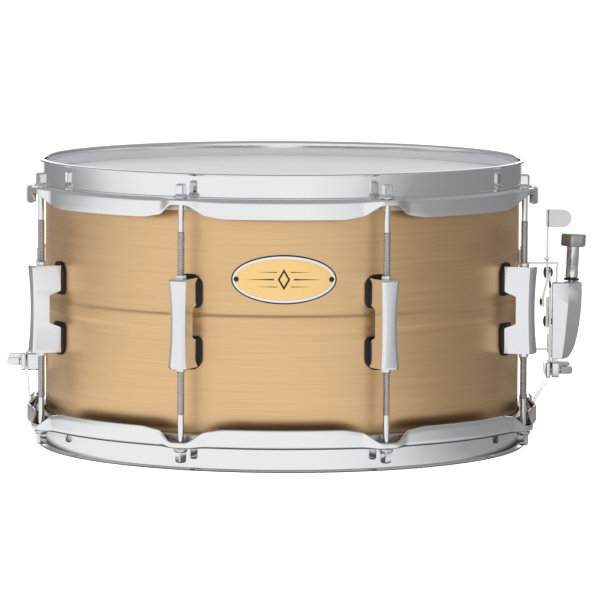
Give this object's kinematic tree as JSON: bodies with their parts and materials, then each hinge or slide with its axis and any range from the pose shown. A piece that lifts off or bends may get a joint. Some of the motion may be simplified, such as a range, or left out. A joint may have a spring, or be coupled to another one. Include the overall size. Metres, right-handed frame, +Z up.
{
  "type": "snare drum",
  "caption": "Snare drum: beaded brass shell, two flanged hoops, tension rods in bridge lugs, throw-off strainer and butt end with snare wires under the lower head.",
  "frame": {"origin": "centre of the batter head's top face, on the drum's axis", "axes": "+Z up along the drum's axis, out of the batter head; +X towards the strainer; -X towards the butt end; -Y towards the badge"},
  "size_m": [0.4304, 0.381, 0.2125],
  "materials": {
    "polished_chrome": "mirror-polished chrome plate",
    "satin_brass": "brass with fine brushing round the shell, lacquered",
    "coated_film": "polyester film with a fine matte coating",
    "clear_film": "clear hazy polyester film",
    "flesh_hoop_aluminium": "satin aluminium",
    "black_rubber": "matte black rubber",
    "black_nylon": "black nylon",
    "dark_steel": "plain steel rivets",
    "snare_wire_steel": "bright wire and brazed end plates",
    "badge_gold": "gold badge with a dark outline and no lettering"
  },
  "bodies": {
    "drum": {"shell": "satin_brass", "batter_head": "coated_film", "snare_head": "clear_film", "batter_flesh_hoop": "flesh_hoop_aluminium", "snare_flesh_hoop": "flesh_hoop_aluminium", "batter_hoop": "polished_chrome", "snare_hoop": "polished_chrome", "strainer_base": "polished_chrome", "link_pivot_pin": "dark_steel", "butt_bracket": "polished_chrome", "butt_clamp_plate": "polished_chrome", "strainer_strap": "clear_film", "butt_strap": "clear_film", "snare_wires": "snare_wire_steel", "badge": "badge_gold", "lug_1": "polished_chrome", "lug_2": "polished_chrome", "lug_3": "polished_chrome", "lug_4": "polished_chrome", "lug_5": "polished_chrome", "lug_6": "polished_chrome", "lug_7": "polished_chrome", "lug_8": "polished_chrome", "lug_gasket_1": "black_rubber", "lug_gasket_2": "black_rubber", "lug_gasket_3": "black_rubber", "lug_gasket_4": "black_rubber", "lug_gasket_5": "black_rubber", "lug_gasket_6": "black_rubber", "lug_gasket_7": "black_rubber", "lug_gasket_8": "black_rubber"},
    "strainer_slide": {"strainer_housing": "polished_chrome", "strainer_slide_plate": "polished_chrome", "lever_pivot_pin": "dark_steel", "knob_washer": "black_nylon", "strainer_clamp_plate": "polished_chrome"},
    "strainer_lever": {"strainer_lever": "polished_chrome", "crank_pin": "dark_steel"},
    "strainer_link": {"strainer_link": "polished_chrome"},
    "tension_knob": {"tension_knob": "polished_chrome"},
    "strainer_clamp_screw_1": {"strainer_clamp_screw_1": "polished_chrome"},
    "strainer_clamp_screw_2": {"strainer_clamp_screw_2": "polished_chrome"},
    "butt_clamp_screw_1": {"butt_clamp_screw_1": "polished_chrome"},
    "butt_clamp_screw_2": {"butt_clamp_screw_2": "polished_chrome"},
    "batter_rod_1": {"batter_rod_1": "polished_chrome"},
    "batter_rod_2": {"batter_rod_2": "polished_chrome"},
    "batter_rod_3": {"batter_rod_3": "polished_chrome"},
    "batter_rod_4": {"batter_rod_4": "polished_chrome"},
    "batter_rod_5": {"batter_rod_5": "polished_chrome"},
    "batter_rod_6": {"batter_rod_6": "polished_chrome"},
    "batter_rod_7": {"batter_rod_7": "polished_chrome"},
    "batter_rod_8": {"batter_rod_8": "polished_chrome"},
    "snare_rod_1": {"snare_rod_1": "polished_chrome"},
    "snare_rod_2": {"snare_rod_2": "polished_chrome"},
    "snare_rod_3": {"snare_rod_3": "polished_chrome"},
    "snare_rod_4": {"snare_rod_4": "polished_chrome"},
    "snare_rod_5": {"snare_rod_5": "polished_chrome"},
    "snare_rod_6": {"snare_rod_6": "polished_chrome"},
    "snare_rod_7": {"snare_rod_7": "polished_chrome"},
    "snare_rod_8": {"snare_rod_8": "polished_chrome"}
  },
  "joints": [
    {"name": "strainer_throw", "type": "hinge", "parent": "strainer_slide", "child": "strainer_lever", "pos_m": [0.197, 0, -0.07445], "axis": [-1, 0, 0], "range_deg": [0, 30]},
    {"name": "strainer_drop", "type": "slide", "parent": "drum", "child": "strainer_slide", "axis": [0, 0, -1], "range_m": [0, 0.008], "deforming": ["strainer_strap"]},
    {"name": "link_swing", "type": "hinge", "parent": "drum", "child": "strainer_link", "pos_m": [0.197, 0, -0.11095], "axis": [1, 0, 0], "range_deg": [0, 49.4]},
    {"name": "knob_turn", "type": "hinge", "parent": "strainer_slide", "child": "tension_knob", "pos_m": [0.2152, 0, -0.08075], "axis": [0.0436, 0, 0.999], "continuous": true},
    {"name": "strainer_clamp_turn_1", "type": "hinge", "parent": "strainer_slide", "child": "strainer_clamp_screw_1", "pos_m": [0.2055, -0.015, -0.1455], "axis": [1, 0, 0], "continuous": true},
    {"name": "strainer_clamp_turn_2", "type": "hinge", "parent": "strainer_slide", "child": "strainer_clamp_screw_2", "pos_m": [0.2055, 0.015, -0.1455], "axis": [1, 0, 0], "continuous": true},
    {"name": "butt_clamp_turn_1", "type": "hinge", "parent": "drum", "child": "butt_clamp_screw_1", "pos_m": [-0.1935, -0.015, -0.14025], "axis": [-1, 0, 0], "continuous": true},
    {"name": "butt_clamp_turn_2", "type": "hinge", "parent": "drum", "child": "butt_clamp_screw_2", "pos_m": [-0.1935, 0.015, -0.14025], "axis": [-1, 0, 0], "continuous": true},
    {"name": "batter_rod_turn_1", "type": "hinge", "parent": "drum", "child": "batter_rod_1", "pos_m": [0.176, 0.0729, 0], "axis": [0, 0, 1], "continuous": true},
    {"name": "batter_rod_turn_2", "type": "hinge", "parent": "drum", "child": "batter_rod_2", "pos_m": [0.0729, 0.176, 0], "axis": [0, 0, 1], "continuous": true},
    {"name": "batter_rod_turn_3", "type": "hinge", "parent": "drum", "child": "batter_rod_3", "pos_m": [-0.0729, 0.176, 0], "axis": [0, 0, 1], "continuous": true},
    {"name": "batter_rod_turn_4", "type": "hinge", "parent": "drum", "child": "batter_rod_4", "pos_m": [-0.176, 0.0729, 0], "axis": [0, 0, 1], "continuous": true},
    {"name": "batter_rod_turn_5", "type": "hinge", "parent": "drum", "child": "batter_rod_5", "pos_m": [-0.176, -0.0729, 0], "axis": [0, 0, 1], "continuous": true},
    {"name": "batter_rod_turn_6", "type": "hinge", "parent": "drum", "child": "batter_rod_6", "pos_m": [-0.0729, -0.176, 0], "axis": [0, 0, 1], "continuous": true},
    {"name": "batter_rod_turn_7", "type": "hinge", "parent": "drum", "child": "batter_rod_7", "pos_m": [0.0729, -0.176, 0], "axis": [0, 0, 1], "continuous": true},
    {"name": "batter_rod_turn_8", "type": "hinge", "parent": "drum", "child": "batter_rod_8", "pos_m": [0.176, -0.0729, 0], "axis": [0, 0, 1], "continuous": true},
    {"name": "snare_rod_turn_1", "type": "hinge", "parent": "drum", "child": "snare_rod_1", "pos_m": [0.176, 0.0729, -0.1905], "axis": [0, 0, -1], "continuous": true},
    {"name": "snare_rod_turn_2", "type": "hinge", "parent": "drum", "child": "snare_rod_2", "pos_m": [0.0729, 0.176, -0.1905], "axis": [0, 0, -1], "continuous": true},
    {"name": "snare_rod_turn_3", "type": "hinge", "parent": "drum", "child": "snare_rod_3", "pos_m": [-0.0729, 0.176, -0.1905], "axis": [0, 0, -1], "continuous": true},
    {"name": "snare_rod_turn_4", "type": "hinge", "parent": "drum", "child": "snare_rod_4", "pos_m": [-0.176, 0.0729, -0.1905], "axis": [0, 0, -1], "continuous": true},
    {"name": "snare_rod_turn_5", "type": "hinge", "parent": "drum", "child": "snare_rod_5", "pos_m": [-0.176, -0.0729, -0.1905], "axis": [0, 0, -1], "continuous": true},
    {"name": "snare_rod_turn_6", "type": "hinge", "parent": "drum", "child": "snare_rod_6", "pos_m": [-0.0729, -0.176, -0.1905], "axis": [0, 0, -1], "continuous": true},
    {"name": "snare_rod_turn_7", "type": "hinge", "parent": "drum", "child": "snare_rod_7", "pos_m": [0.0729, -0.176, -0.1905], "axis": [0, 0, -1], "continuous": true},
    {"name": "snare_rod_turn_8", "type": "hinge", "parent": "drum", "child": "snare_rod_8", "pos_m": [0.176, -0.0729, -0.1905], "axis": [0, 0, -1], "continuous": true}
  ],
  "couplings": [
    {"joint": "strainer_throw", "follows": "strainer_drop", "rad_per_m": 65.44},
    {"joint": "link_swing", "follows": "strainer_drop", "rad_per_m": 107.6}
  ]
}
